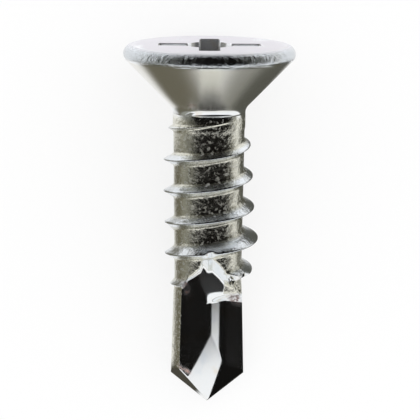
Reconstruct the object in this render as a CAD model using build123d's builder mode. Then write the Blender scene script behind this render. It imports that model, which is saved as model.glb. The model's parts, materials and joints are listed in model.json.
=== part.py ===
from build123d import *
import os
from math import cos, hypot, radians, sin, sqrt, tan

import numpy as np

# Self drilling screw, millimetres and degrees.
#
# The screw is built upright in its own frame: z runs along the axis, the flat
# of the head is at z = 0 and the tip of the drill point is at z = -length.
# The flute on the -y side is the front one; the other is the same turned half
# round. At the end the screw is laid down as it comes to rest on a table.

# Head: flat top, half-round rim, countersunk underside
length = 19.0
head_diameter = 8.78
rim_radius = 0.45
countersink_angle = 83.0

# Plain neck under the head, and the step down to the core
neck_diameter = 3.73
neck_length = 0.95
neck_fillet = 0.35
neck_step_length = 0.19

# Threaded core, slightly thinner towards the point, and the flare to the drill body
core_top_diameter = 3.66
core_end_diameter = 3.50
flare_length = 0.9

# Thread: coarse, right-handed, sharp crest. It starts on the neck, a little
# under the cone, and ends just above the drill body
thread_diameter = 4.64
thread_pitch = 1.65
cone_to_thread = 0.65
thread_to_drill = 0.21
thread_angle = 60.0
crest_width = 0.07
end_azimuth = 100.4
run_in_turns = 0.35
run_out_turns = 0.60
sections_per_turn = 10
vanished_share = 0.06
thread_sink = 0.15

# Drill point: its length, widening body and lips
drill_length = 5.9
drill_start_diameter = 3.60
drill_diameter = 3.84
point_angle = 101.0
relief_angle = 37.0

# Flute section, seen along the axis with the front up: the heel wall comes
# down from the left land, a steeper floor goes on to the root, and the cutting
# face rises from the root to the cutting corner on the right
flute_length = 5.45
heel_wall_angle = 31.7
web_thickness = 0.62
floor_side = 0.16
root_side = 0.93
root_setback = 0.42

# Run-out of the flute into the thread. A shallow ramp carries the floor on
# upwards and outwards, a steep foot leads on to it from the root, and the
# cutting face leans forward. All of it stops at a pinched, slanting end; its
# outline is given by places across the core's skin and heights above the
# flute's full depth. The shoulder on its right is shaved just under the skin
ramp_height = 0.378
ramp_turn = 8.5
ramp_lean = 10.2
foot_lean = 62.0
face_lean = 17.0
end_slope = 0.5
run_out_outline = (
    (-1.90, -0.15),
    (-1.45, 0.80),
    (-1.05, 1.60),
    (-0.42, 2.22),
    (-0.26, 2.70),
    (0.24, 2.78),
    (0.95, 1.95),
    (0.95, 1.16),
    (1.77, 0.36),
)
shoulder_outline = ((0.95, 1.95), (1.90, 1.00), (2.60, 1.00), (2.60, -2.00), (1.77, 0.36), (0.95, 1.16))
shoulder_drop = 0.15

# Thinning of the web at the tip, and the leaning face along the cutting lip
thinning_turn = 36.5
thinning_lean = 4.1
chisel_edge = 0.10
lip_face_lean = 27.6

# Cross recess
recess_width = 5.2
recess_floor_width = 2.3
recess_wall_angle = 26.5
recess_floor_angle = 28.0
wing_width = 1.05
recess_middle_diameter = 2.5
recess_middle_angle = 12.0

# How it lies: the search for its rest starts near these angles, with a flute down
first_roll = 280.0
first_lean = 12.0
first_step = 4.0
last_step = 0.01
surface_tolerance = 0.005


def straight_down(radius, depth):
    """A point of the turned profile, given by radius and depth."""
    return (radius, -depth)


# ---- Worked out from the driving dimensions ----
head_radius = head_diameter / 2
flat_radius = head_radius - rim_radius
rim_depth = 2 * rim_radius
neck_radius = neck_diameter / 2
drill_radius = drill_diameter / 2
cone_slope = tan(radians(countersink_angle / 2))
cone_depth = rim_depth + (flat_radius - neck_radius) / cone_slope
neck_end = cone_depth + neck_length
drill_start = length - drill_length
flute_start = length - flute_length
lip_slope = 1 / tan(radians(point_angle / 2))
corner_depth = length - drill_radius * lip_slope
crest_radius = thread_diameter / 2
thread_end = drill_start - thread_to_drill
thread_height = thread_end - cone_depth - cone_to_thread
thread_turns = thread_height / thread_pitch
clear = 2 * head_radius

# ---- Turned blank: head, neck, core, drill body and point ----
with BuildPart() as blank:
    with BuildSketch(Plane.XZ) as blank_half:
        with BuildLine():
            Line((0, -length), (0, 0))
            Line((0, 0), straight_down(flat_radius, 0))
            ThreePointArc(
                straight_down(flat_radius, 0),
                straight_down(head_radius, rim_radius),
                straight_down(flat_radius, rim_depth),
            )
            Polyline(
                straight_down(flat_radius, rim_depth),
                straight_down(neck_radius, cone_depth),
                straight_down(neck_radius, neck_end),
                straight_down(core_top_diameter / 2, neck_end + neck_step_length),
                straight_down(core_end_diameter / 2, drill_start - flare_length),
                straight_down(drill_start_diameter / 2, drill_start),
                straight_down(drill_radius, corner_depth),
                straight_down(0, length),
            )
        make_face()
        under_head = blank_half.vertices().sort_by_distance(straight_down(neck_radius, cone_depth))[0]
        fillet(under_head, radius=neck_fillet)
    revolve(axis=Axis.Z)

# ---- Thread: one ridge swept up a helix, growing and vanishing at its ends ----
ridge_height = crest_radius - core_end_diameter / 2
ridge_root = crest_width + 2 * (ridge_height + thread_sink) * tan(radians(thread_angle / 2))


def ridge_share(turn):
    """How much of the full ridge stands at this turn, counted from the bottom."""
    from_end = min(turn / run_out_turns, (thread_turns - turn) / run_in_turns, 1)
    eased = from_end * from_end * (3 - 2 * from_end)
    return vanished_share + (1 - vanished_share) * eased


with BuildLine() as thread_path:
    Helix(thread_pitch, thread_height, core_end_diameter / 2)
helix_edge = thread_path.edges()[0]


def ridge_section(turn):
    """The ridge cut across the helix at this turn."""
    share = turn / thread_turns
    foot = helix_edge @ share
    across = Plane(origin=foot, x_dir=(foot.X, foot.Y, 0), z_dir=helix_edge % share)
    grown = ridge_share(turn)
    with BuildSketch(across) as ridge:
        with BuildLine():
            Polyline(
                (-thread_sink, -ridge_root / 2 * grown),
                (ridge_height * grown, -crest_width / 2 * grown),
                (ridge_height * grown, crest_width / 2 * grown),
                (-thread_sink, ridge_root / 2 * grown),
                close=True,
            )
        make_face()
    return ridge.sketch


section_count = round(thread_turns * sections_per_turn)
ridge_sections = [ridge_section(thread_turns * n / section_count) for n in range(section_count + 1)]
with BuildPart() as ridge:
    sweep(sections=ridge_sections, path=helix_edge, multisection=True, is_frenet=True)

# ---- Flute cutter: a prism along the flute, and its run-out between slanting faces ----
wall_angle = radians(heel_wall_angle)
face_rise = root_setback / (drill_radius - root_side)
core_radius = core_end_diameter / 2
half_point = radians(point_angle / 2)
lip_lean = radians(lip_face_lean)
tip = (0, 0, -length)


def heel_wall_y(x):
    """Place of the heel wall at x, half the web in front of the axis."""
    return -(web_thickness / 2 - x * sin(wall_angle)) / cos(wall_angle)


def plane_facing(origin, side, front, up):
    """A plane whose outer side looks towards +x by side, -y by front and +z by up."""
    return Plane(origin=origin, z_dir=(side, -front, up))


cutting_face = plane_facing((root_side, root_setback, 0), -face_rise, 1, 0)
lip_face = plane_facing(
    tip,
    -cos(half_point) * sin(lip_lean),
    cos(lip_lean),
    sin(half_point) * sin(lip_lean),
)
web_turn = radians(thinning_turn)
web_lean = radians(thinning_lean)
thinning_face = plane_facing(
    (chisel_edge / 2 * sin(web_turn), -chisel_edge / 2 * cos(web_turn), -length),
    sin(web_turn) * cos(web_lean),
    cos(web_turn) * cos(web_lean),
    -sin(web_lean),
)

ramp = plane_facing((0, -ramp_height, -flute_start), tan(radians(ramp_turn)), 1, -tan(radians(ramp_lean)))
floor_rise = (root_setback - heel_wall_y(floor_side)) / (root_side - floor_side)
root = (root_side, root_setback, -flute_start)
foot = plane_facing(root, floor_rise, 1, -tan(radians(foot_lean)))
leaning_face = plane_facing(root, -face_rise, 1, -tan(radians(face_lean)))


def in_front(across, height):
    """A corner of the run-out's outline, carried from the core's skin to the sketch in front of it."""
    skin = sqrt(max(core_radius**2 - across**2, 0))
    return (across, height - flute_start + end_slope * (clear - skin))


with BuildPart() as run_out_end:
    with BuildSketch(Plane.XZ.offset(clear)):
        with BuildLine():
            Polyline(
                *(in_front(*corner) for corner in run_out_outline),
                (clear, -length),
                (-clear, -length),
                close=True,
            )
        make_face()
    extrude(amount=2 * clear * hypot(1, end_slope), dir=(0, 1, -end_slope))

with BuildPart() as shoulder:
    with BuildSketch(Plane.XZ.offset(clear)):
        with BuildLine():
            Polyline(*(in_front(*corner) for corner in shoulder_outline), close=True)
        make_face()
    extrude(amount=clear * hypot(1, end_slope), dir=(0, 1, -end_slope))
    Cylinder(core_radius - shoulder_drop, 2 * length, mode=Mode.SUBTRACT)

with BuildPart() as flute:
    with BuildSketch(Plane.XY.offset(-flute_start)) as flute_section:
        with BuildLine():
            Polyline(
                (-clear, heel_wall_y(-clear)),
                (floor_side, heel_wall_y(floor_side)),
                (root_side, root_setback),
                (clear, root_setback - face_rise * (clear - root_side)),
                (clear, -2 * clear),
                (-clear, -2 * clear),
                close=True,
            )
        make_face()
    extrude(amount=-(length - flute_start + 1))
    with BuildPart(mode=Mode.PRIVATE) as run_out:
        extrude(flute_section.sketch, amount=clear)
        add(run_out_end.part, mode=Mode.INTERSECT)
        split(bisect_by=leaning_face, keep=Keep.TOP)
    for face in (ramp, foot):
        add(split(run_out.part, bisect_by=face, keep=Keep.TOP, mode=Mode.PRIVATE))
    split(bisect_by=lip_face, keep=Keep.TOP)

# ---- Web thinning at the tip: all that lies in front of three faces ----
with BuildPart() as thinning:
    with Locations(tip):
        Box(2 * clear, 2 * clear, 2 * (length - flute_start))
    split(bisect_by=thinning_face, keep=Keep.TOP)
    split(bisect_by=cutting_face, keep=Keep.TOP)
    split(bisect_by=lip_face, keep=Keep.TOP)

# ---- Cross recess cutter: two crossed wings and a round tapered middle ----
recess_depth = (recess_width - recess_floor_width) / 2 / tan(radians(recess_wall_angle))
recess_tip_depth = recess_depth + recess_floor_width / 2 * tan(radians(recess_floor_angle))
middle_radius = recess_middle_diameter / 2
middle_floor_radius = middle_radius - recess_depth * tan(radians(recess_middle_angle))
with BuildPart() as recess:
    with BuildSketch(Plane.XZ):
        with BuildLine():
            Polyline(
                (-recess_width / 2, 0),
                (-recess_floor_width / 2, -recess_depth),
                (0, -recess_tip_depth),
                (recess_floor_width / 2, -recess_depth),
                (recess_width / 2, 0),
                close=True,
            )
        make_face()
    extrude(amount=wing_width / 2, both=True)
    add(recess.part, rotation=(0, 0, 90))
    with Locations((0, 0, -recess_depth)):
        Cone(middle_floor_radius, middle_radius, recess_depth, align=(Align.CENTER, Align.CENTER, Align.MIN))

# ---- The screw, upright ----
relief_rise = tan(radians(relief_angle))
with BuildPart() as upright:
    add(blank.part)
    with Locations(Location((0, 0, -thread_end), (0, 0, end_azimuth))):
        add(ridge.part)
    for half_turn in (0, 180):
        for cutter in (flute, shoulder, thinning):
            add(cutter.part, rotation=(0, 0, half_turn), mode=Mode.SUBTRACT)
    split(bisect_by=Plane(origin=tip, z_dir=(-lip_slope, -relief_rise, 1)), keep=Keep.TOP)
    split(bisect_by=Plane(origin=tip, z_dir=(lip_slope, relief_rise, 1)), keep=Keep.TOP)
    add(recess.part, mode=Mode.SUBTRACT)


# ---- Laid down as it comes to rest: its centre of mass as low as it will go ----
surface = np.array([tuple(point) for point in upright.part.tessellate(surface_tolerance)[0]])
balance = np.array(tuple(upright.part.center(CenterOf.MASS)))


def upward(roll, lean):
    """The direction that faces up, in the screw's own frame."""
    roll, lean = radians(roll), radians(lean)
    return np.array((cos(lean) * cos(roll), cos(lean) * sin(roll), sin(lean)))


def centre_height(roll, lean):
    """Height of the centre of mass over the table when the screw lies this way."""
    up = upward(roll, lean)
    return balance @ up - (surface @ up).min()


roll, lean, step = first_roll, first_lean, first_step
while step > last_step:
    nearby = [(roll + i * step, lean + j * step) for i in (-1, 0, 1) for j in (-1, 0, 1)]
    lowest = min(nearby, key=lambda pose: centre_height(*pose))
    if centre_height(*lowest) < centre_height(roll, lean):
        roll, lean = lowest
    else:
        step /= 2

up = upward(roll, lean)
across = np.array((-sin(radians(roll)), cos(radians(roll)), 0))
along = np.cross(up, across)
laid = np.column_stack((surface @ across, surface @ along, surface @ up))
low, high = laid.min(axis=0), laid.max(axis=0)
rest = Plane(
    origin=(-(low[0] + high[0]) / 2, -(low[1] + high[1]) / 2, -low[2]),
    x_dir=(across[0], along[0], up[0]),
    z_dir=(across[2], along[2], up[2]),
)
with BuildPart(rest) as screw:
    add(upright.part)

print(f"Lies at roll {roll:.2f}, lean {lean:.2f} degrees")
print("screw", screw.part.is_valid, screw.part.volume, len(screw.part.solids()), screw.part.bounding_box())
screw.part.label = "screw"
os.makedirs("parts", exist_ok=True)
export_step(screw.part, "parts/screw.step")
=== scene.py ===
"""Self drilling screw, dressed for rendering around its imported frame.

The screw is one piece. Its skin is worked out as rings of points round its
axis, from the bottom of the cross recess over the head and down to the tip,
in the screw's own frame: x to the right, -y to the front, z up the axis, with
the flat of the head at z = 0. A Geometry Nodes tree raises the thread on it,
the flutes are then pressed into it, and the finished mesh is laid down where
the frame says.
"""

import json
from math import cos, pi, radians, sin, tan

import bmesh
import bpy
import numpy as np
from bpy.props import FloatProperty, FloatVectorProperty, IntProperty, PointerProperty
from mathutils import Matrix, Vector, noise


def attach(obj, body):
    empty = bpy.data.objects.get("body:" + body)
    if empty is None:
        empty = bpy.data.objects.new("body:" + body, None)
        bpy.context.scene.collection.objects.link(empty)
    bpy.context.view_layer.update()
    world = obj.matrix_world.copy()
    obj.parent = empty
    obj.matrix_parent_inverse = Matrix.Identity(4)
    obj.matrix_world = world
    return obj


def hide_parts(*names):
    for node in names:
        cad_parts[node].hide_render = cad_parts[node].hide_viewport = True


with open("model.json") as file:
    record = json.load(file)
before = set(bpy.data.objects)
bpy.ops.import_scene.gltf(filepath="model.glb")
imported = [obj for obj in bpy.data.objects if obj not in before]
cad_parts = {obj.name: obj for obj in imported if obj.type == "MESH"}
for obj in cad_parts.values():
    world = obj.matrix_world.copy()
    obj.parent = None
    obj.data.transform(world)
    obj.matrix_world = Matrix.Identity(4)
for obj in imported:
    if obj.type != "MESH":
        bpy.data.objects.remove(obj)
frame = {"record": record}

bl_info = {
    "name": "Self Drilling Screw",
    "version": (1, 0, 0),
    "blender": (4, 5, 0),
    "location": "View3D > Sidebar > Screw",
    "description": "Builds a zinc plated self drilling screw and its studio",
    "category": "Add Mesh",
}

MM = 0.001
WELD_DISTANCE = 0.0004 * MM

# ---- What the frame says: where the screw lies ----
MOUNTS = {mount["name"]: mount for mount in frame["record"]["mounts"]}
HEAD_CENTRE = Vector(MOUNTS["cross_recess"]["pos_m"])
TIP = Vector(MOUNTS["drill_point"]["pos_m"])
LENGTH = (HEAD_CENTRE - TIP).length


# ---- Properties ----
def length_property(name, default_mm, description):
    return FloatProperty(
        name=name,
        description=description,
        default=default_mm * MM,
        precision=5,
        subtype="DISTANCE",
        unit="LENGTH",
    )


def angle_property(name, default_degrees, description):
    return FloatProperty(
        name=name,
        description=description,
        default=radians(default_degrees),
        subtype="ANGLE",
        unit="ROTATION",
    )


def colour_property(name, default, description):
    return FloatVectorProperty(
        name=name, description=description, default=default, size=3, min=0, max=1, subtype="COLOR"
    )


def share_property(name, default, description):
    return FloatProperty(name=name, description=description, default=default, min=0, max=1, subtype="FACTOR")


class HeadSizes(bpy.types.PropertyGroup):
    """Sizes of the head, its recess and the neck"""

    diameter: length_property("Head Diameter", 8.78, "Across the rounded rim")
    rim_radius: length_property("Rim Radius", 0.45, "Radius of the half-round rim")
    front_rim_end: angle_property("Front Rim End", 15, "How far below its middle the rim ends in front")
    countersink: angle_property("Countersink Angle", 83, "Full angle of the cone under the head")
    neck_diameter: length_property("Neck Diameter", 3.73, "Plain neck under the head")
    neck_length: length_property("Neck Length", 0.95, "From the cone to the step down to the core")
    neck_fillet: length_property("Neck Fillet", 0.60, "Radius between cone and neck")
    recess_reach: length_property("Recess Reach", 2.6, "From the axis to the end of a wing at the top")
    recess_floor_reach: length_property("Recess Floor Reach", 1.15, "The same where the floor starts")
    wing_half_width: length_property("Wing Half Width", 0.525, "Half the width of a wing at the top")
    wing_floor_half_width: length_property("Wing Floor Half Width", 0.44, "The same where the floor starts")
    middle_radius: length_property("Middle Radius", 1.25, "Round middle of the recess at the top")
    middle_floor_radius: length_property("Middle Floor Radius", 0.63, "The same where the floor starts")
    wall_angle: angle_property("Recess Wall Angle", 26.5, "Slope of a wing's end")
    floor_angle: angle_property("Recess Floor Angle", 28, "Slope of the recess floor")
    recess_lip: length_property("Recess Lip", 0.07, "Rounding of the recess edge")


class ThreadSizes(bpy.types.PropertyGroup):
    """Sizes of the core and the thread"""

    core_top_diameter: length_property("Core Top Diameter", 3.66, "Under the neck")
    core_end_diameter: length_property("Core End Diameter", 3.50, "At the thread's end")
    neck_step: length_property("Neck Step", 0.19, "Length of the step from neck to core")
    flare: length_property("Flare", 0.9, "Length over which the core widens to the drill body")
    crest_diameter: length_property("Crest Diameter", 4.64, "Over the crests")
    pitch: length_property("Pitch", 1.65, "From crest to crest")
    cone_to_thread: length_property("Cone to Thread", 0.65, "Plain length under the cone")
    thread_to_drill: length_property("Thread to Drill", 0.21, "From the thread's end to the drill body")
    flank_angle: angle_property("Thread Angle", 60, "Between the two flanks")
    crest_width: length_property("Crest Width", 0.07, "Flat on the crest")
    root_rounding: length_property("Root Rounding", 0.10, "Softness where a flank meets the core")
    end_azimuth: angle_property("End Azimuth", 190.4, "Where the thread ends, from the front towards +x")
    early_start: FloatProperty(
        name="Early Start", description="Turns by which the first trace comes sooner", default=0.15
    )
    run_in: FloatProperty(name="Run In", description="Turns over which the thread starts", default=0.5, min=0)
    run_out: FloatProperty(name="Run Out", description="Turns over which the thread ends", default=0.6, min=0)
    unevenness: length_property("Unevenness", 0.02, "Waviness left by rolling")
    seed: IntProperty(name="Seed", description="Fixed seed of the waviness", default=7)


class PointSizes(bpy.types.PropertyGroup):
    """Sizes of the drill point"""

    length: length_property("Drill Length", 5.9, "From the tip to the end of the core")
    start_diameter: length_property("Start Diameter", 3.60, "Where the drill body starts")
    diameter: length_property("Drill Diameter", 3.84, "Over the cutting corners")
    point_angle: angle_property("Point Angle", 101, "Full angle between the lips")
    relief_angle: angle_property("Relief Angle", 37, "Fall of the faces behind the lips")
    flute_length: length_property("Flute Length", 5.45, "Full depth of the flute, from the tip")
    heel_angle: angle_property("Heel Wall Angle", 31.7, "Turn of the wall that comes down from the left land")
    web: length_property("Web", 0.62, "Thickness of the metal between the flutes")
    floor_side: length_property("Floor Side", 0.16, "Where the flute floor starts, right of the axis")
    floor_angle: angle_property("Floor Angle", 42, "Turn of the flute floor")
    root_side: length_property("Root Side", 0.93, "Where the floor meets the cutting face")
    root_setback: length_property("Root Setback", 0.42, "How far the root lies behind the axis")
    thinning_turn: angle_property("Thinning Turn", 36.5, "Turn of the face that thins the web at the tip")
    thinning_lean: angle_property("Thinning Lean", 3.6, "Its lean")
    thinning_hollow: length_property("Thinning Hollow", 0.115, "How far that face bends towards the tip")
    chisel: length_property("Chisel Edge", 0.06, "Length of the edge across the tip")
    lip_lean: angle_property("Lip Face Lean", 27.6, "Lean of the narrow face along a cutting lip")
    edge_rounding: length_property("Edge Rounding", 0.06, "Softness of the edges of the drill point")


class FinishSettings(bpy.types.PropertyGroup):
    """Colours and gloss of the zinc plating; the rim and core colours also carry painted shade"""

    zinc: colour_property("Zinc", (0.88, 0.90, 0.91), "Bright zinc")
    cool: colour_property("Cool Tint", (0.80, 0.84, 0.88), "Bluish bloom of the plating")
    warm: colour_property("Warm Tint", (0.84, 0.80, 0.73), "Yellowish bloom of the plating")
    gloss_roughness: share_property("Gloss Roughness", 0.10, "Roughness of the pressed and rolled faces")
    satin_roughness: share_property("Satin Roughness", 0.20, "Roughness under the head")
    mottled_roughness: share_property("Mottled Roughness", 0.20, "Roughness of the core")
    flank_roughness: share_property("Flank Roughness", 0.12, "Roughness of the thread's flanks")
    bloom_roughness: share_property("Bloom Roughness", 0.5, "Roughness of the bloom")
    dull_roughness: share_property("Dull Roughness", 0.6, "Roughness of the dull film")
    satin: colour_property("Satin", (0.81, 0.80, 0.75), "Plating under the head")
    # painted shade: a darker, bluer colour round the head's edge stands in for the dimmer reflection there
    rim: colour_property("Rim", (0.60, 0.64, 0.68), "Plating around the head's edge")
    # painted shade: a darker, olive colour for the core between the threads
    core: colour_property("Core", (0.80, 0.79, 0.70), "Plating between the threads")
    bloom: colour_property("Bloom", (0.30, 0.30, 0.27), "Dull zinc bloom, in spots on the core")
    bloom_cover: share_property("Bloom Cover", 0.25, "How much of the core the bloom covers")
    dull: colour_property("Dull", (0.88, 0.86, 0.91), "Dull film on the head's top, thin in the recess")


class StageSettings(bpy.types.PropertyGroup):
    """Camera, floor and lights"""

    flute_lean: angle_property("Flute Lean", 6.016, "How far the upper flute leans from upright, towards -X")
    camera_front: length_property("Camera Distance", 85, "From the axis to the camera, square to the axis")
    camera_height: length_property("Camera Height", 10.06, "From the head to the camera, along the axis")
    camera_side: length_property("Camera Side", 0.087, "Sideways place of the camera")
    camera_pitch: angle_property("Camera Pitch", 12.39, "How far the camera looks down the axis")
    camera_roll: angle_property("Camera Roll", 0.47, "Roll of the camera")
    focal_length: FloatProperty(name="Focal Length", description="On a 36 mm sensor", default=143.66)
    floor_size: length_property("Floor Size", 4000, "Side of the floor")
    floor_colour: colour_property("Floor", (0.92, 0.92, 0.92), "Pale floor")
    shadow: share_property("Shadow", 0.3, "How much of the floor's shading shows")


# ---- Node trees, written as formulas ----
class Wires:
    """Places nodes in one tree and joins them, so that a formula reads as calls."""

    def __init__(self, tree):
        self.tree = tree

    def feed(self, socket, value):
        if isinstance(value, bpy.types.NodeSocket):
            self.tree.links.new(value, socket)
        else:
            socket.default_value = value

    def node(self, kind, inputs=None, **settings):
        made = self.tree.nodes.new(kind)
        for name, value in settings.items():
            setattr(made, name, value)
        for key, value in (inputs or {}).items():
            self.feed(made.inputs[key], value)
        return made

    def math(self, operation, *values):
        made = self.tree.nodes.new("ShaderNodeMath")
        made.operation = operation
        for socket, value in zip(made.inputs, values):
            self.feed(socket, value)
        return made.outputs[0]

    def smooth_step(self, value, low, high, to_low=0.0, to_high=1.0):
        inputs = {"Value": value, "From Min": low, "From Max": high, "To Min": to_low, "To Max": to_high}
        return self.node("ShaderNodeMapRange", inputs, interpolation_type="SMOOTHSTEP").outputs[0]

    def mix(self, share, first, second):
        made = self.node("ShaderNodeMix", data_type="RGBA")
        for socket, value in zip((made.inputs[0], made.inputs[6], made.inputs[7]), (share, first, second)):
            self.feed(socket, value)
        return made.outputs[2]

    def layer(self, name):
        """Share and colour of a layer kept on the mesh, whose colour fades with its share."""
        kept = self.node("ShaderNodeAttribute", attribute_name=name).outputs
        whole = self.math("DIVIDE", 1.0, self.math("MAXIMUM", kept["Alpha"], 0.02))
        colour = self.node("ShaderNodeVectorMath", {0: kept["Color"], "Scale": whole}, operation="SCALE")
        return self.smooth_step(kept["Alpha"], 0.0, 0.8), colour.outputs[0]


# ---- Shapes in formulas ----
def soft_max(a, b, soft):
    """The larger of two values, with the corner between them rounded."""
    near = np.maximum(soft - np.abs(a - b), 0) / soft
    return np.maximum(a, b) + near * near * soft / 4


def soft_min(a, b, soft):
    return -soft_max(-a, -b, soft)


COLUMNS = 240
ROWS_PER_TURN = 28
CREST_CROWDING = 0.6
AZIMUTH = np.arange(COLUMNS) * 2 * pi / COLUMNS


def cone_depth(head):
    """Depth at which the cone under the head meets the neck."""
    drop = (head.diameter / 2 - head.rim_radius - head.neck_diameter / 2) / tan(head.countersink / 2)
    return 2 * head.rim_radius + drop


def cross_outline(reach, half_width, middle, soft):
    """Distance from the axis to the edge of a cross with a round middle, for each column."""
    from_wing = (AZIMUTH + pi / 4) % (pi / 2) - pi / 4
    wing = soft_min(reach / np.cos(from_wing), half_width / np.maximum(np.abs(np.sin(from_wing)), 1e-6), soft)
    return soft_max(wing, middle + 0 * wing, soft)


def recess_rings(head):
    """Rings of (radius, depth) from the bottom of the recess to its edge."""
    depth = (head.recess_reach - head.recess_floor_reach) / tan(head.wall_angle)
    drop = head.recess_floor_reach * tan(head.floor_angle)
    soft = head.recess_lip
    floor = cross_outline(head.recess_floor_reach, head.wing_floor_half_width, head.middle_floor_radius, soft)
    for share in (0.02, 0.25, 0.5, 0.75, 0.93):
        yield floor * share, depth + drop * (1 - share)
    for share in np.linspace(0, 1, 12) ** 0.8:
        edge = cross_outline(
            head.recess_floor_reach + (head.recess_reach - head.recess_floor_reach) * share,
            head.wing_floor_half_width + (head.wing_half_width - head.wing_floor_half_width) * share,
            head.middle_floor_radius + (head.middle_radius - head.middle_floor_radius) * share,
            soft,
        )
        yield edge, depth + (head.recess_lip - depth) * share
    for bend in np.radians((22, 45, 68, 90)):
        yield edge + head.recess_lip * (1 - cos(bend)), head.recess_lip * (1 - sin(bend))


def head_rings(head):
    """Rings of the head and the neck, from the recess edge down."""
    *_, (edge, _) = recess_rings(head)
    flat_radius = head.diameter / 2 - head.rim_radius
    for share in (0.08, 0.3, 0.6, 0.9):
        yield edge + (flat_radius - edge) * share, 0.0
    at_front = ((1 + np.cos(AZIMUTH)) / 2) ** 1.5
    rim_end = -(pi / 2) * (1 - at_front) - head.front_rim_end * at_front
    for share in np.linspace(0, 1, 16):
        bend = pi / 2 + (rim_end - pi / 2) * share
        rim = flat_radius + head.rim_radius * np.cos(bend)
        rim_depth = head.rim_radius * (1 - np.sin(bend))
        yield rim, rim_depth
    half_cone = head.countersink / 2
    bend_length = head.neck_fillet * tan(half_cone / 2)
    neck_radius = head.neck_diameter / 2
    fillet_radius = neck_radius + bend_length * sin(half_cone)
    fillet_depth = cone_depth(head) - bend_length * cos(half_cone)
    for share in np.linspace(0, 1, 20)[1:-1]:
        yield rim + (fillet_radius - rim) * share, rim_depth + (fillet_depth - rim_depth) * share
    for bend in np.linspace(half_cone, 0, 7):
        yield (
            neck_radius + head.neck_fillet * (1 - cos(bend)),
            cone_depth(head) + bend_length - head.neck_fillet * sin(bend),
        )


def ring_mesh(rings):
    """A row of points for each ring of (radius, depth)."""
    points = []
    for radius, depth in rings:
        radius, depth = radius + 0 * AZIMUTH, depth + 0 * AZIMUTH
        points.append(np.stack((radius * np.sin(AZIMUTH), -radius * np.cos(AZIMUTH), -depth), -1))
    return np.array(points)


def core_radius(depth, head, thread, point):
    """Radius of the turned blank from the neck to the cutting corners."""
    neck_end = cone_depth(head) + head.neck_length
    drill_start = LENGTH - point.length
    corner = LENGTH - point.diameter / 2 / tan(point.point_angle / 2)
    depths = (0, neck_end, neck_end + thread.neck_step, drill_start - thread.flare, drill_start, corner)
    diameters = (
        head.neck_diameter,
        head.neck_diameter,
        thread.core_top_diameter,
        thread.core_end_diameter,
        point.start_diameter,
        point.diameter,
    )
    return np.interp(depth, depths, np.array(diameters) / 2)


def thread_rows(head, thread, point, top, bottom):
    """Rows that follow the helix, crowded at the crest and clipped at both ends."""
    end_depth = LENGTH - point.length - thread.thread_to_drill
    azimuth = np.linspace(0, 2 * pi, COLUMNS + 1)
    first = (end_depth - bottom) / thread.pitch - 1.6
    last = (end_depth - top) / thread.pitch + 1.6
    steps = np.arange(round(first * ROWS_PER_TURN), round(last * ROWS_PER_TURN) + 1) / ROWS_PER_TURN
    steps = steps - CREST_CROWDING * np.sin(2 * pi * steps) / (2 * pi)
    turns = steps[::-1, None] + (azimuth - thread.end_azimuth) / (2 * pi)
    depth = np.clip(end_depth - thread.pitch * turns, top, bottom)
    radius = core_radius(depth, head, thread, point)
    return np.stack((radius * np.sin(azimuth), -radius * np.cos(azimuth), -depth), -1)


# ---- Flutes and point ----
# The edge of the flute's end on the core: places across the screw and heights above the flute's full depth.
END_ACROSS = np.array((-1.9, -1.45, -1.05, -0.69, -0.42, -0.26, 0.24, 0.62, 0.95, 1.9)) * MM
END_HEIGHTS = np.array((-0.1, 0.80, 1.60, 1.92, 2.22, 2.70, 2.78, 2.42, 1.95, 1.0)) * MM
END_STEEPNESS = ((-0.5 * MM, 0.0), (2.6, 1.2))


def roughly(points, grain, seed):
    """Smooth noise between about -1 and 1 at each point."""
    shift = Vector((seed * 7.3, seed * 3.1, seed * 5.7))
    return np.array([noise.noise(Vector(point) / grain + shift) for point in points.reshape(-1, 3)]).reshape(
        points.shape[:-1]
    )


def flute_limit(x, depth, point, soft, rubble):
    """How far the front flute reaches towards the back, for each place across and down the screw."""
    to_tip = LENGTH - depth
    above = np.maximum(to_tip - point.flute_length, 0)
    heel = -(point.web / 2 - x * sin(point.heel_angle)) / cos(point.heel_angle)
    heel_end = -(point.web / 2 - point.floor_side * sin(point.heel_angle)) / cos(point.heel_angle)
    floor = heel_end + tan(point.floor_angle) * (x - point.floor_side)
    face_slope = point.root_setback / (point.diameter / 2 - point.root_side)
    cutting_face = point.root_setback - face_slope * (x - point.root_side)
    thinning = (
        -point.chisel / 2
        - point.thinning_hollow * (1 - np.exp(-to_tip / (0.7 * MM)))
        - tan(point.thinning_lean) * to_tip
        + tan(point.thinning_turn) * x
    )
    half_point = point.point_angle / 2
    lip_face = tan(point.lip_lean) * (sin(half_point) * to_tip - cos(half_point) * x)

    right = np.maximum(x + 0.05 * MM, 0)
    twist = np.maximum(1 - above / (0.6 * MM), 0) ** 2
    ramp = -0.385 * MM - 0.18 * above + 0.15 * (x + 0.05 * MM) + 0.65 * twist * right
    bent = np.interp(x, (0.95 * MM, 1.15 * MM), (0.45, 0.12))
    cutting_face = cutting_face - bent * np.minimum(above, 0.95 * MM)
    body = -np.sqrt(np.maximum((1.79 * MM) ** 2 - x**2, 0))
    steep = np.interp(x, *END_STEEPNESS)
    end = body + steep * (np.interp(x, END_ACROSS, END_HEIGHTS) - above)
    off_edge = np.minimum(x - 0.93 * MM, (above - 1.16 * MM + x - 0.98 * MM) * 0.7)
    shoulder = np.maximum(cutting_face - 9 * off_edge, body + 0.20 * MM + 0.14 * MM * rubble)
    shoulder = np.where(off_edge > 0, shoulder, cutting_face)

    limit = soft_max(soft_max(heel, floor, 0.2 * soft), thinning, 0.15 * soft)
    limit = np.where(above > 0, soft_min(limit, ramp, soft), limit)
    limit = soft_min(limit, cutting_face, soft)
    limit = np.where(above > 0, soft_min(soft_min(limit, end, soft), shoulder, soft), limit)
    return soft_min(limit, lip_face, soft)


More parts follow.
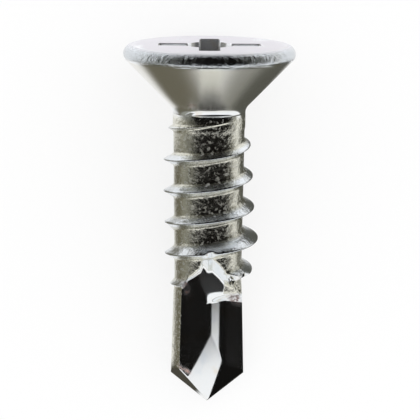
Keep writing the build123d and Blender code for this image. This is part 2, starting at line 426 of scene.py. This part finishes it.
def relief_limit(x, depth, point):
    """The face behind the other lip, as the furthest place towards the front."""
    lip_slope = 1 / tan(point.point_angle / 2)
    return -(LENGTH - depth + lip_slope * x) / tan(point.relief_angle)


def front_limit(x, depth, point, soft, rubble=0.0):
    """The front skin of the drill point, without the turned body."""
    return soft_max(flute_limit(x, depth, point, soft, rubble), relief_limit(x, depth, point), soft)


def edge_softness(depth, point):
    return np.minimum(point.edge_rounding, np.maximum((LENGTH - depth) / 5, 0.002 * MM))


def press_flutes(points, point):
    """Moves the points that lie in the way of a flute back to its faces."""
    x, y, z = points.T
    soft = edge_softness(-z, point)
    rubble = roughly(points, 0.30 * MM, 1) + 0.6 * roughly(points, 0.13 * MM, 2)
    front = soft_max(y, front_limit(x, -z, point, soft, rubble), soft)
    both = soft_min(front, -front_limit(-x, -z, point, soft, rubble), soft)
    return np.stack((x, both, z), -1), np.clip(np.abs(both - y) / (0.03 * MM), 0, 1)


def point_rows(head, thread, point, top):
    """Rows of the drill point, each as wide as the point is at its depth."""
    lip_slope = 1 / tan(point.point_angle / 2)
    corner = LENGTH - point.diameter / 2 * lip_slope
    depths = np.concatenate((np.linspace(top, corner, 112), np.linspace(corner, LENGTH, 47)[1:]))[:, None]
    radius = np.minimum(core_radius(depths, head, thread, point), (LENGTH - depths) / lip_slope)
    soft = edge_softness(depths, point)

    def opening(x):
        turned = np.sqrt(np.maximum(radius**2 - x**2, 0)) - np.maximum(x - radius, 0)
        low = soft_max(-turned, front_limit(x, depths, point, soft), soft)
        high = soft_min(turned, -front_limit(-x, depths, point, soft), soft)
        return high - low

    inside, outside = 0 * radius, radius + 0.01 * MM
    for _ in range(30):
        middle = (inside + outside) / 2
        open_there = opening(middle) > 0
        inside, outside = np.where(open_there, middle, inside), np.where(open_there, outside, middle)
    x = inside * np.sin(AZIMUTH)
    front = np.where(np.cos(AZIMUTH) >= 0, -1, 1)
    y = front * np.sqrt(np.maximum(radius**2 - x**2, 0))
    return np.stack((x, y, -depths + 0 * x), -1)


# ---- Thread ----
CREST_HEIGHTS = (
    (0.00, 0.00), (0.13, -0.01), (0.22, -0.06), (0.315, 0.27), (0.41, -0.07), (0.50, 0.06),
    (0.59, 0.00), (0.68, -0.04), (0.77, 0.00), (0.865, -0.20), (1.00, -0.10),
)
CREST_SPAN = 0.5


def thread_tree(material):
    """Raises a helical ridge on a turned blank, with the crest's own unevenness."""
    tree = bpy.data.node_groups.new("Rolled Thread", "GeometryNodeTree")
    tree.interface.new_socket("Geometry", in_out="INPUT", socket_type="NodeSocketGeometry")
    tree.interface.new_socket("Geometry", in_out="OUTPUT", socket_type="NodeSocketGeometry")
    for name in (
        "Pitch", "End Depth", "Turns", "End Turn", "Crest Radius", "Crest Width", "Flank Slope",
        "Root Rounding", "Run In", "Run Out", "Unevenness", "Seed",
    ):
        tree.interface.new_socket(name, in_out="INPUT", socket_type="NodeSocketFloat")
    wires = Wires(tree)
    size = wires.node("NodeGroupInput").outputs
    place = wires.node("GeometryNodeInputPosition").outputs[0]
    x, y, z = wires.node("ShaderNodeSeparateXYZ", {0: place}).outputs
    radius = wires.math("SQRT", wires.math("ADD", wires.math("MULTIPLY", x, x), wires.math("MULTIPLY", y, y)))
    azimuth = wires.math("DIVIDE", wires.math("ARCTAN2", x, wires.math("MULTIPLY", y, -1.0)), 2 * pi)
    height = wires.math("ADD", z, size["End Depth"])
    turn = wires.math("DIVIDE", height, size["Pitch"])
    phase = wires.math("SUBTRACT", turn, wires.math("SUBTRACT", azimuth, size["End Turn"]))
    away = wires.math("MULTIPLY", wires.math("PINGPONG", phase, 0.5), size["Pitch"])

    curve = wires.node("ShaderNodeFloatCurve", {"Value": wires.math("DIVIDE", turn, size["Turns"])})
    points = curve.mapping.curves[0].points
    points[0].location = (CREST_HEIGHTS[0][0], 0.5 + CREST_HEIGHTS[0][1] * CREST_SPAN)
    points[1].location = (CREST_HEIGHTS[-1][0], 0.5 + CREST_HEIGHTS[-1][1] * CREST_SPAN)
    for share, higher in CREST_HEIGHTS[1:-1]:
        points.new(share, 0.5 + higher * CREST_SPAN)
    curve.mapping.update()
    higher = wires.math("MULTIPLY", wires.math("SUBTRACT", curve.outputs[0], 0.5), MM / CREST_SPAN)

    grown = wires.math(
        "MULTIPLY",
        wires.smooth_step(turn, 0.0, size["Run Out"]),
        wires.smooth_step(wires.math("SUBTRACT", size["Turns"], turn), 0.0, size["Run In"]),
    )
    full = wires.math("SUBTRACT", wires.math("ADD", size["Crest Radius"], higher), radius)
    full = wires.math("MULTIPLY", full, grown)
    half_crest = wires.math("DIVIDE", size["Crest Width"], 2.0)
    beside = wires.math("MAXIMUM", wires.math("SUBTRACT", away, half_crest), 0.0)
    flank = wires.math("SUBTRACT", full, wires.math("MULTIPLY", beside, size["Flank Slope"]))
    ridge = wires.math("SMOOTH_MAX", flank, 0.0, size["Root Rounding"])
    ridge = wires.math("MULTIPLY", ridge, wires.smooth_step(grown, 0.0, 0.05))

    shaken = wires.node(
        "ShaderNodeTexNoise",
        {"Vector": place, "W": size["Seed"], "Scale": 1.4 / MM, "Detail": 2.0},
        noise_dimensions="4D",
    ).outputs[0]
    threaded = wires.math(
        "MULTIPLY",
        wires.smooth_step(turn, -0.2, 0.3),
        wires.smooth_step(turn, size["Turns"], wires.math("ADD", size["Turns"], 0.3), 1.0, 0.0),
    )
    wavy = wires.math("MULTIPLY", wires.math("SUBTRACT", shaken, 0.5), size["Unevenness"])
    wavy = wires.math("MULTIPLY", wavy, threaded)
    outward = wires.math("DIVIDE", wires.math("ADD", ridge, wavy), wires.math("MAXIMUM", radius, 0.01 * MM))
    shift = wires.node(
        "ShaderNodeCombineXYZ",
        {0: wires.math("MULTIPLY", x, outward), 1: wires.math("MULTIPLY", y, outward)},
    ).outputs[0]
    kept = wires.node(
        "GeometryNodeStoreNamedAttribute",
        {"Geometry": size["Geometry"], "Name": "ridge", "Value": wires.math("DIVIDE", ridge, 0.5 * MM)},
        data_type="FLOAT",
        domain="POINT",
    ).outputs[0]
    moved = wires.node("GeometryNodeSetPosition", {"Geometry": kept, "Offset": shift})
    real = wires.node("GeometryNodeRealizeInstances", {"Geometry": moved.outputs[0]})
    coated = wires.node("GeometryNodeSetMaterial", {"Geometry": real.outputs[0]})
    coated.inputs["Material"].default_value = material
    wires.node("NodeGroupOutput", {"Geometry": coated.outputs[0]})
    return tree


def raise_thread(blank, head, thread, point, material):
    """Runs the thread tree on the blank and keeps the result as a plain mesh."""
    end_depth = LENGTH - point.length - thread.thread_to_drill
    turns = (end_depth - cone_depth(head) - thread.cone_to_thread) / thread.pitch + thread.early_start
    values = {
        "Pitch": thread.pitch,
        "End Depth": end_depth,
        "Turns": turns,
        "End Turn": thread.end_azimuth / (2 * pi),
        "Crest Radius": thread.crest_diameter / 2,
        "Crest Width": thread.crest_width,
        "Flank Slope": 1 / tan(thread.flank_angle / 2),
        "Root Rounding": thread.root_rounding,
        "Run In": thread.run_in,
        "Run Out": thread.run_out,
        "Unevenness": thread.unevenness,
        "Seed": float(thread.seed),
    }
    modifier = blank.modifiers.new("Thread", "NODES")
    modifier.node_group = thread_tree(material)
    for item in modifier.node_group.interface.items_tree:
        if item.in_out == "INPUT" and item.name in values:
            modifier[item.identifier] = values[item.name]
    bpy.context.view_layer.update()
    graph = bpy.context.evaluated_depsgraph_get()
    finished = bpy.data.meshes.new_from_object(blank.evaluated_get(graph), depsgraph=graph)
    blank.modifiers.clear()
    blank.data = finished


# ---- Material ----
def zinc_material(finish):
    """Bright zinc with its tints, satin and mottle, dull film and stains, and painted shade that darkens the
    head's rim and the core between the threads.
    """
    material = bpy.data.materials.new("zinc_plated_steel")
    material.use_nodes = True
    tree = material.node_tree
    tree.nodes.clear()
    wires = Wires(tree)
    place = wires.node("ShaderNodeTexCoord").outputs["Object"]
    satin, mottled_and_shaded, rim, dull, rolled = (
        wires.node("ShaderNodeAttribute", attribute_name=name).outputs["Fac"]
        for name in ("satin", "mottled_and_shaded", "rim", "dull", "rolled")
    )
    tint = wires.node("ShaderNodeTexNoise", {"Vector": place, "Scale": 0.9 / MM, "Detail": 3.0}).outputs[0]
    grain = wires.node(
        "ShaderNodeTexNoise", {"Vector": place, "Scale": 3.2 / MM, "Detail": 5.0, "Roughness": 0.62}
    ).outputs[0]
    spots = wires.node(
        "ShaderNodeTexNoise", {"Vector": place, "Scale": 4.6 / MM, "Detail": 4.0, "Roughness": 0.7}
    ).outputs[0]
    ridge = wires.node("ShaderNodeAttribute", attribute_name="ridge").outputs["Fac"]
    mottled_and_shaded = wires.math("MULTIPLY", mottled_and_shaded, wires.smooth_step(ridge, 0.15, 0.6, 1.0, 0.0))
    edge = 0.62 - 0.28 * finish.bloom_cover
    bloom = wires.math("MULTIPLY", wires.smooth_step(spots, edge, edge + 0.12), mottled_and_shaded)

    colour = wires.mix(wires.smooth_step(tint, 0.5, 0.75), (*finish.zinc, 1), (*finish.cool, 1))
    colour = wires.mix(wires.smooth_step(tint, 0.45, 0.25), colour, (*finish.warm, 1))
    colour = wires.mix(wires.math("MULTIPLY", satin, 0.9), colour, (*finish.satin, 1))
    # painted shade: the head's edge is darkened towards the rim colour
    colour = wires.mix(wires.math("MULTIPLY", rim, 0.8), colour, (*finish.rim, 1))
    # painted shade: the core between the threads is darkened and turned olive
    colour = wires.mix(mottled_and_shaded, colour, (*finish.core, 1))
    colour = wires.mix(bloom, colour, (*finish.bloom, 1))
    colour = wires.mix(wires.math("MULTIPLY", rolled, 0.7), colour, (*finish.cool, 1))
    pits = wires.math("MULTIPLY", wires.smooth_step(spots, 0.60, 0.68), wires.math("MULTIPLY", satin, 0.4))
    colour = wires.mix(pits, colour, (*finish.core, 1))
    worn = wires.node("ShaderNodeTexNoise", {"Vector": place, "Scale": 0.45 / MM, "Detail": 4.0}).outputs[0]
    dull = wires.math("MULTIPLY", dull, wires.smooth_step(worn, 0.56, 0.66, 1.0, 0.25))
    colour = wires.mix(dull, colour, (*finish.dull, 1))
    stained, stain = wires.layer("stains")
    stained = wires.math("MULTIPLY", stained, wires.smooth_step(spots, 0.36, 0.62, 0.15, 1.0))
    plain = wires.node("ShaderNodeRGBToBW", {0: colour}).outputs[0]
    colour = wires.mix(stained, colour, stain)
    # a faint stain must not turn the shine around it into a pale haze
    shine = wires.math("MULTIPLY", plain, wires.math("SUBTRACT", 1.0, stained))
    kept = wires.math("DIVIDE", shine, wires.node("ShaderNodeRGBToBW", {0: colour}).outputs[0])
    rough = finish.gloss_roughness
    for mask, wanted in (
        (satin, finish.satin_roughness),
        (mottled_and_shaded, finish.mottled_roughness),
        (bloom, finish.bloom_roughness),
        (dull, finish.dull_roughness),
        (rolled, finish.flank_roughness),
    ):
        rough = wires.math("ADD", rough, wires.math("MULTIPLY", mask, wanted - finish.gloss_roughness))
    covered = wires.math("MAXIMUM", wires.math("MULTIPLY", bloom, 0.75), wires.math("MULTIPLY", dull, 0.85))
    metallic = wires.math("MULTIPLY", wires.math("SUBTRACT", 1.0, covered), kept)
    uneven = wires.math("ADD", wires.math("MULTIPLY", mottled_and_shaded, 0.5), wires.math("MULTIPLY", rim, 1.0))
    uneven = wires.math("ADD", uneven, wires.math("MULTIPLY", rolled, 0.4))
    bump = wires.node(
        "ShaderNodeBump",
        {"Height": wires.math("MULTIPLY", grain, uneven), "Distance": 0.10 * MM, "Strength": 0.9},
    ).outputs[0]
    metal = wires.node(
        "ShaderNodeBsdfPrincipled",
        {"Base Color": colour, "Roughness": rough, "Metallic": metallic, "Normal": bump},
    )
    wires.node("ShaderNodeOutputMaterial", {"Surface": metal.outputs[0]})
    return material


# ---- The finished body ----
def screw_matrix(flute_lean):
    """From the screw's own frame to where it lies, with the front flute facing up."""
    axis = (HEAD_CENTRE - TIP).normalized()
    upward = (Vector((0, 0, 1)) - axis * axis.z).normalized()
    front = Matrix.Rotation(-flute_lean, 3, axis) @ upward
    side = axis.cross(front)
    turned = Matrix((side, -front, axis)).transposed().to_4x4()
    return Matrix.Translation(HEAD_CENTRE) @ turned


def joined_grid(rows, closed):
    """Faces between neighbouring rows, as indices into the flattened points."""
    count = rows.shape[1]
    columns = np.arange(count if closed else count - 1)
    across = (columns + 1) % count
    lower = np.arange(rows.shape[0] - 1)[:, None] * count
    upper = lower + count
    return np.stack((lower + columns, upper + columns, upper + across, lower + across), -1).reshape(-1, 4)


def build_blank(head, thread, point):
    """The turned blank as one closed skin, with rows ready for the thread and the flutes."""
    top = cone_depth(head) + 0.12 * MM
    bottom = LENGTH - point.length
    rings = ring_mesh([*recess_rings(head), *head_rings(head)])
    neck = np.stack((head.neck_diameter / 2 * np.sin(AZIMUTH), -head.neck_diameter / 2 * np.cos(AZIMUTH),
                     -top + 0 * AZIMUTH), -1)
    rings = np.concatenate((rings, neck[None]))
    helix = thread_rows(head, thread, point, top, bottom)
    tip = point_rows(head, thread, point, bottom)
    points = [rings.reshape(-1, 3), helix.reshape(-1, 3), tip.reshape(-1, 3)]
    faces = [joined_grid(rings, True), joined_grid(helix, False), joined_grid(tip, True)]
    starts = np.cumsum([0] + [len(part) for part in points[:-1]])
    faces = np.concatenate([part + start for part, start in zip(faces, starts)])
    mesh = bpy.data.meshes.new("screw_body")
    mesh.from_pydata(np.concatenate(points).tolist(), [], faces.tolist())
    shape = bmesh.new()
    shape.from_mesh(mesh)
    bmesh.ops.remove_doubles(shape, verts=shape.verts, dist=WELD_DISTANCE)
    bmesh.ops.holes_fill(shape, edges=shape.edges, sides=COLUMNS)
    shape.to_mesh(mesh)
    shape.free()
    return mesh


# Stains in the plating: colour, strength, middle across the flute and down from the head's top, half
# length and half width, all in mm, and how many degrees the length leans down from level.
RUST, DARK_RUST, COPPER = (0.26, 0.13, 0.08), (0.14, 0.065, 0.05), (0.50, 0.33, 0.29)
STAINS = (
    (RUST, 0.6, (-0.85, 2.84), (0.28, 0.16), 5),
    (DARK_RUST, 0.8, (-1.10, 12.55), (0.50, 0.18), 80),
    (DARK_RUST, 0.8, (1.44, 13.45), (0.45, 0.30), 60),
    (COPPER, 0.9, (-1.18, 16.92), (0.42, 0.12), 42),
)


def soft_spot(x, y, middle, reach, lean):
    """1 in the middle of an oval spot, falling softly to 0 around it."""
    across, down = x - middle[0] * MM, y - middle[1] * MM
    along = (across * cos(radians(lean)) + down * sin(radians(lean))) / (reach[0] * MM)
    beside = (down * cos(radians(lean)) - across * sin(radians(lean))) / (reach[1] * MM)
    return np.clip((1.5 - np.hypot(along, beside)) / 1.2, 0, 1)


# The end of a flute keeps the core's mottling and painted shade above this depth and beyond this place to its
# right.
SHOULDER_DEPTH, SHOULDER_SIDE = 13.0 * MM, 0.85 * MM


def in_recess(points, head):
    """Which points belong to the cross recess rather than to the head's outside."""
    depth, radius = -points[:, 2], np.hypot(points[:, 0], points[:, 1])
    neck = head.neck_diameter / 2
    outside = cone_depth(head) * (1 - (radius - neck) / (head.diameter / 2 - neck)) - 0.1 * MM
    within = (radius < head.recess_reach + head.recess_lip) & (depth > 0.01 * MM)
    return within & (depth < np.where(radius < 0.9 * neck, cone_depth(head) - 0.05 * MM, outside))


def stain_layer(points, facing, recessed):
    """Colour of the stains at each point and how strongly they show. Both flutes have the same."""
    x, y, z = points.T
    side = np.where(facing < 0, 1, -1)
    shaken = roughly(points, 0.22 * MM, 7)
    across, down = x * side + 0.06 * MM * shaken, -z + 0.10 * MM * shaken
    layer = np.zeros((len(points), 4))
    for colour, strength, middle, reach, lean in STAINS:
        share = strength * soft_spot(across, down, middle, reach, lean) * ~recessed * (-z > 0.3 * MM)
        layer = layer * (1 - share[:, None]) + share[:, None] * np.array((*colour, 1))
    return layer


def finish_masks(points, pressed, head):
    """Where the plating is satin, mottle with painted shade on the core, ripple with painted shade on the
    rim, or dull, for each point of the screw.
    """
    x, y, z = points.T
    depth, radius = -z, np.hypot(x, y)
    flat_radius = head.diameter / 2 - head.rim_radius
    recessed = in_recess(points, head)
    top = np.clip((flat_radius + 0.1 * MM - radius) / (0.3 * MM), 0, 1) * (depth < 0.03 * MM)
    upper_rim = np.clip((0.1 * MM - depth) / (0.1 * MM), 0, 1) * (radius > 0.7 * flat_radius)
    rim_side = np.clip((1.5 * head.rim_radius - depth) / (0.1 * MM), 0, 1)
    from_left = x * np.where(y < 0, 1, -1)
    return {
        "satin": np.clip((depth - 1.6 * head.rim_radius) / (0.05 * MM), 0, 1)
        * np.clip((cone_depth(head) - depth) / (0.2 * MM), 0, 1) * ~recessed,
        # mask of the core's mottle and of the painted shade between the threads
        "mottled_and_shaded": np.clip((depth - cone_depth(head) - 0.2 * MM) / (0.3 * MM), 0, 1)
        * (1 - pressed * ((depth > SHOULDER_DEPTH) | (from_left < SHOULDER_SIDE))),
        # mask of the rim's ripple and of the painted shade that darkens the head's edge
        "rim": np.clip((radius - flat_radius) / (0.1 * MM), 0, 1) * rim_side,
        "dull": np.maximum(np.maximum(top * ~recessed, 0.2 * recessed), 0.6 * upper_rim),
    }


class SCREW_OT_body(bpy.types.Operator):
    """Build the screw with its thread, flutes and plating"""

    bl_idname = "screw.body"
    bl_label = "Screw Body"

    def execute(self, context):
        scene = context.scene
        head, thread, point = scene.screw_head, scene.screw_thread, scene.screw_point
        material = zinc_material(scene.screw_finish)
        body = bpy.data.objects.new("screw_body", build_blank(head, thread, point))
        scene.collection.objects.link(body)
        raise_thread(body, head, thread, point, material)
        mesh = body.data
        points = np.empty(len(mesh.vertices) * 3)
        mesh.vertices.foreach_get("co", points)
        points = points.reshape(-1, 3)
        depth = -points[:, 2]
        below_neck = depth > cone_depth(head)
        pressed_points, pressed = press_flutes(points, point)
        points = np.where(below_neck[:, None], pressed_points, points)
        pressed = pressed * below_neck
        masks = finish_masks(points, pressed, head)
        ridge = np.empty(len(points))
        mesh.attributes["ridge"].data.foreach_get("value", ridge)
        masks["rolled"] = np.clip((ridge - 0.1) / 0.4, 0, 1) * (1 - pressed)
        placing = np.array(screw_matrix(scene.screw_stage.flute_lean))
        points = points @ placing[:3, :3].T + placing[:3, 3]
        mesh.vertices.foreach_set("co", points.ravel())
        for name, values in masks.items():
            mesh.attributes.new(name, "FLOAT", "POINT").data.foreach_set("value", values.astype(np.float32))
        shape = bmesh.new()
        shape.from_mesh(mesh)
        bmesh.ops.remove_doubles(shape, verts=shape.verts, dist=WELD_DISTANCE)
        bmesh.ops.recalc_face_normals(shape, faces=shape.faces)
        open_edges = sum(not edge.is_manifold for edge in shape.edges)
        triangles = sum(len(face.verts) - 2 for face in shape.faces)
        print("screw_body", len(shape.verts), "points", triangles, "triangles", open_edges, "open edges",
              shape.calc_volume() / MM**3, "mm3")
        shape.to_mesh(mesh)
        shape.free()
        points = np.empty(len(mesh.vertices) * 3)
        mesh.vertices.foreach_get("co", points)
        normals = np.empty(len(mesh.vertices) * 3)
        mesh.vertex_normals.foreach_get("vector", normals)
        turned = placing[:3, :3]
        points = (points.reshape(-1, 3) - placing[:3, 3]) @ turned
        facing = normals.reshape(-1, 3) @ turned[:, 1]
        stains = stain_layer(points, facing, in_recess(points, head))
        coloured = mesh.attributes.new("stains", "FLOAT_COLOR", "POINT")
        coloured.data.foreach_set("color", stains.ravel().astype(np.float32))
        mesh.shade_smooth()
        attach(body, "root")
        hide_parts("screw")
        return {"FINISHED"}


# ---- Stage ----
def glow_material(name, colour, fade):
    """A card's own light, fading out over the last share of its middle distance."""
    material = bpy.data.materials.new(name)
    material.use_nodes = True
    tree = material.node_tree
    tree.nodes.clear()
    wires = Wires(tree)
    light = wires.node("ShaderNodeEmission", {"Color": (*colour, 1)}).outputs[0]
    clear = wires.node("ShaderNodeBsdfTransparent").outputs[0]
    spread = wires.node("ShaderNodeAttribute", attribute_name="spread").outputs["Fac"]
    shown = wires.smooth_step(spread, 1 - fade, 1.0001, 1.0, 0.0)
    mixed = wires.node("ShaderNodeMixShader", {0: shown, 1: clear, 2: light}).outputs[0]
    wires.node("ShaderNodeOutputMaterial", {"Surface": mixed})
    return material


def card(name, placing, points, spread, colour, fade):
    """A card seen only in the screw's reflections, from a grid of points in the screw's own frame."""
    placed = points @ placing[:3, :3].T + placing[:3, 3]
    mesh = bpy.data.meshes.new(name)
    mesh.from_pydata(placed.reshape(-1, 3).tolist(), [], joined_grid(placed, False).tolist())
    kept = mesh.attributes.new("spread", "FLOAT", "POINT")
    kept.data.foreach_set("value", spread.ravel().astype(np.float32))
    mesh.materials.append(glow_material(name, colour, fade))
    made = bpy.data.objects.new(name, mesh)
    bpy.context.scene.collection.objects.link(made)
    made.visible_camera = False
    made.visible_diffuse = False
    made.visible_shadow = False


def round_card(name, placing, middle, radius, distance, colour, fade=0.05):
    """A round dished card; middle is its azimuth and elevation, radius its angle."""
    turn = np.linspace(0, 2 * pi, 65)
    share = np.linspace(0, 1, 33)[:, None]
    angle = share * radians(radius)
    local = np.stack(
        (np.sin(angle) * np.cos(turn), -np.cos(angle) + 0 * turn, np.sin(angle) * np.sin(turn)), -1
    )
    azimuth, elevation = np.radians(middle)
    tilt = np.array(Matrix.Rotation(-elevation, 3, "X"))
    swing = np.array(Matrix.Rotation(azimuth, 3, "Z"))
    points = distance * local @ tilt.T @ swing.T
    points[..., 2] -= LENGTH / 2
    card(name, placing, points, share + 0 * turn, colour, fade)


def curved_card(name, placing, azimuths, elevations, distance, colour, fade=0.2):
    """A card bent round the screw between two azimuths and two elevations."""
    across = np.linspace(-1, 1, 33)
    upwards = np.linspace(-1, 1, 33)[:, None]
    azimuth = np.radians(np.interp(across, (-1, 1), azimuths))
    elevation = np.radians(np.interp(upwards, (-1, 1), elevations))
    level, upward = np.cos(elevation), np.sin(elevation)
    sideways, forward = level * np.sin(azimuth), -level * np.cos(azimuth)
    points = distance * np.stack((sideways, forward, upward + 0 * azimuth), -1)
    points[..., 2] -= LENGTH / 2
    spread = np.maximum(np.abs(across) + 0 * upwards, np.abs(upwards) + 0 * across)
    card(name, placing, points, spread, colour, fade)


def floor_shade(name, sides, ends, height, colour):
    """A soft patch just above the floor; each side and end runs from nothing to full between two places."""
    across, along = np.linspace(sides[0], sides[3], 49), np.linspace(ends[0], ends[3], 49)[:, None]
    points = np.stack((across + 0 * along, along + 0 * across, height / MM + 0 * across + 0 * along), -1) * MM
    full = np.interp(across, sides, (0, 1, 1, 0)) * np.interp(along, ends, (0, 1, 1, 0))
    card(name, np.eye(4), points, 1 - full, colour, 1)


def floor_wedge(name, places, height, colour):
    """A patch lying just above the floor, from rows of (left side, right side, place along the floor)."""
    share = np.linspace(0, 1, 17)
    points = np.array(
        [[(left + (right - left) * s, along, height / MM) for s in share] for left, right, along in places]
    )
    spread = np.abs(2 * share - 1) + 0 * points[..., 0]
    card(name, np.eye(4), points * MM, spread, colour, 0.08)


def floor_material(colour, shadow):
    """Pale floor; the camera sees it near white, with the shadow at part of its strength."""
    material = bpy.data.materials.new("floor")
    material.use_nodes = True
    tree = material.node_tree
    tree.nodes.clear()
    wires = Wires(tree)
    matt = wires.node("ShaderNodeBsdfDiffuse", {"Color": (*colour, 1)}).outputs[0]
    white = wires.node("ShaderNodeEmission", {"Color": (1, 1, 1, 1), "Strength": 1.04}).outputs[0]
    path = wires.node("ShaderNodeLightPath").outputs
    mirrored = wires.math("MAXIMUM", path["Is Glossy Ray"], path["Is Transmission Ray"])
    seen = wires.math("MAXIMUM", path["Is Camera Ray"], mirrored)
    lit = wires.math("MULTIPLY", seen, 1 - shadow)
    mixed = wires.node("ShaderNodeMixShader", {0: lit, 1: matt, 2: white}).outputs[0]
    wires.node("ShaderNodeOutputMaterial", {"Surface": mixed})
    return material


def build_world(strength):
    """An even white world."""
    world = bpy.data.worlds.new("studio")
    world.use_nodes = True
    world.node_tree.nodes["Background"].inputs["Color"].default_value = (1, 1, 1, 1)
    world.node_tree.nodes["Background"].inputs["Strength"].default_value = strength
    bpy.context.scene.world = world


class SCREW_OT_stage(bpy.types.Operator):
    """Set up the floor, the light and the camera"""

    bl_idname = "screw.stage"
    bl_label = "Stage"

    def execute(self, context):
        scene = context.scene
        stage = scene.screw_stage
        placing = screw_matrix(stage.flute_lean)
        reach = stage.floor_size / 2
        mesh = bpy.data.meshes.new("floor")
        corners = [(-reach, -reach, 0), (reach, -reach, 0), (reach, reach, 0), (-reach, reach, 0)]
        mesh.from_pydata(corners, [], [(0, 1, 2, 3)])
        mesh.materials.append(floor_material(stage.floor_colour, stage.shadow))
        floor = bpy.data.objects.new("floor", mesh)
        scene.collection.objects.link(floor)

        build_world(1.0)
        # cards and shades that only reflections show; places on the floor are in mm
        around = np.array(placing)
        round_card("dark_ceiling", around, (12, 56), 96, 300 * MM, (0.007, 0.0065, 0.006), 0.03)
        curved_card("grey_side", around, (-125, -54), (-50, 60), 290 * MM, (0.20, 0.20, 0.175))
        curved_card("cream_side", around, (76, 132), (-15.5, 50), 290 * MM, (0.32, 0.316, 0.28), 0.1)
        floor_shade("left_shade", (-90, -60, -4, -2.2), (-25, -15, 2.5, 5.8), 0.05 * MM, (0.15, 0.14, 0.105))
        floor_shade("left_far", (-300, -200, -16, -9), (-60, -30, 3, 8), 0.06 * MM, (0.30, 0.30, 0.26))
        floor_shade("centre_shade", (-6, -3, 4, 7), (-40, -30, -16, -12), 0.04 * MM, (0.74, 0.74, 0.68))
        floor_shade("right_shade", (3.0, 5.5, 11, 14), (-26, -15, 5.5, 7.5), 0.05 * MM, (0.25, 0.25, 0.225))
        floor_shade("right_deep", (1.9, 3.2, 8.5, 12), (-7, 0, 5.5, 7.5), 0.06 * MM, (0.10, 0.10, 0.085))
        tip_ends = (-11.5, -10.6, -8.2, -7.4)
        floor_shade("tip_shade", (-4.5, -3.6, -0.9, -0.5), tip_ends, 0.07 * MM, (0.07, 0.065, 0.05))
        floor_shade("bright_line", (-9, -6, 7, 9), (10.5, 10.8, 12.9, 13.1), 0.05 * MM, (1.35, 1.35, 1.38))
        behind = ((-1.1, 2.0, 13.1), (-1.2, 2.7, 17), (-2.7, 5.2, 28), (-5.4, 9, 46), (-40, 60, 300))
        floor_wedge("behind_head", behind, 0.05 * MM, (0.02, 0.02, 0.02))

        camera = bpy.data.objects.new("camera", bpy.data.cameras.new("camera"))
        camera.data.lens = stage.focal_length
        camera.data.sensor_width = 36
        camera.data.clip_start = 1 * MM
        look = Matrix.Rotation(pi / 2 - stage.camera_pitch, 4, "X")
        roll = Matrix.Rotation(stage.camera_roll, 4, "Z")
        stand = Matrix.Translation((stage.camera_side, -stage.camera_front, stage.camera_height))
        camera.matrix_world = placing @ stand @ look @ roll
        scene.collection.objects.link(camera)
        scene.camera = camera
        scene.view_settings.view_transform = "Standard"
        return {"FINISHED"}


class SCREW_PT_panel(bpy.types.Panel):
    """Lists the screw's builders"""

    bl_idname = "SCREW_PT_panel"
    bl_label = "Self Drilling Screw"
    bl_space_type = "VIEW_3D"
    bl_region_type = "UI"
    bl_category = "Screw"

    def draw(self, context):
        for group in ("screw_head", "screw_thread", "screw_point", "screw_finish", "screw_stage"):
            settings = getattr(context.scene, group)
            box = self.layout.box()
            for name in settings.bl_rna.properties.keys():
                if name not in ("rna_type", "name"):
                    box.prop(settings, name)
        self.layout.operator(SCREW_OT_body.bl_idname)
        self.layout.operator(SCREW_OT_stage.bl_idname)


CLASSES = (
    HeadSizes,
    ThreadSizes,
    PointSizes,
    FinishSettings,
    StageSettings,
    SCREW_OT_body,
    SCREW_OT_stage,
    SCREW_PT_panel,
)
SETTINGS = {
    "screw_head": HeadSizes,
    "screw_thread": ThreadSizes,
    "screw_point": PointSizes,
    "screw_finish": FinishSettings,
    "screw_stage": StageSettings,
}


def register():
    for made in CLASSES:
        bpy.utils.register_class(made)
    for name, group in SETTINGS.items():
        setattr(bpy.types.Scene, name, PointerProperty(type=group))


def unregister():
    for name in SETTINGS:
        delattr(bpy.types.Scene, name)
    for made in reversed(CLASSES):
        bpy.utils.unregister_class(made)


def main():
    register()
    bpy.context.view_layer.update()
    bpy.ops.screw.body()
    bpy.ops.screw.stage()


if __name__ == "__main__":
    main()
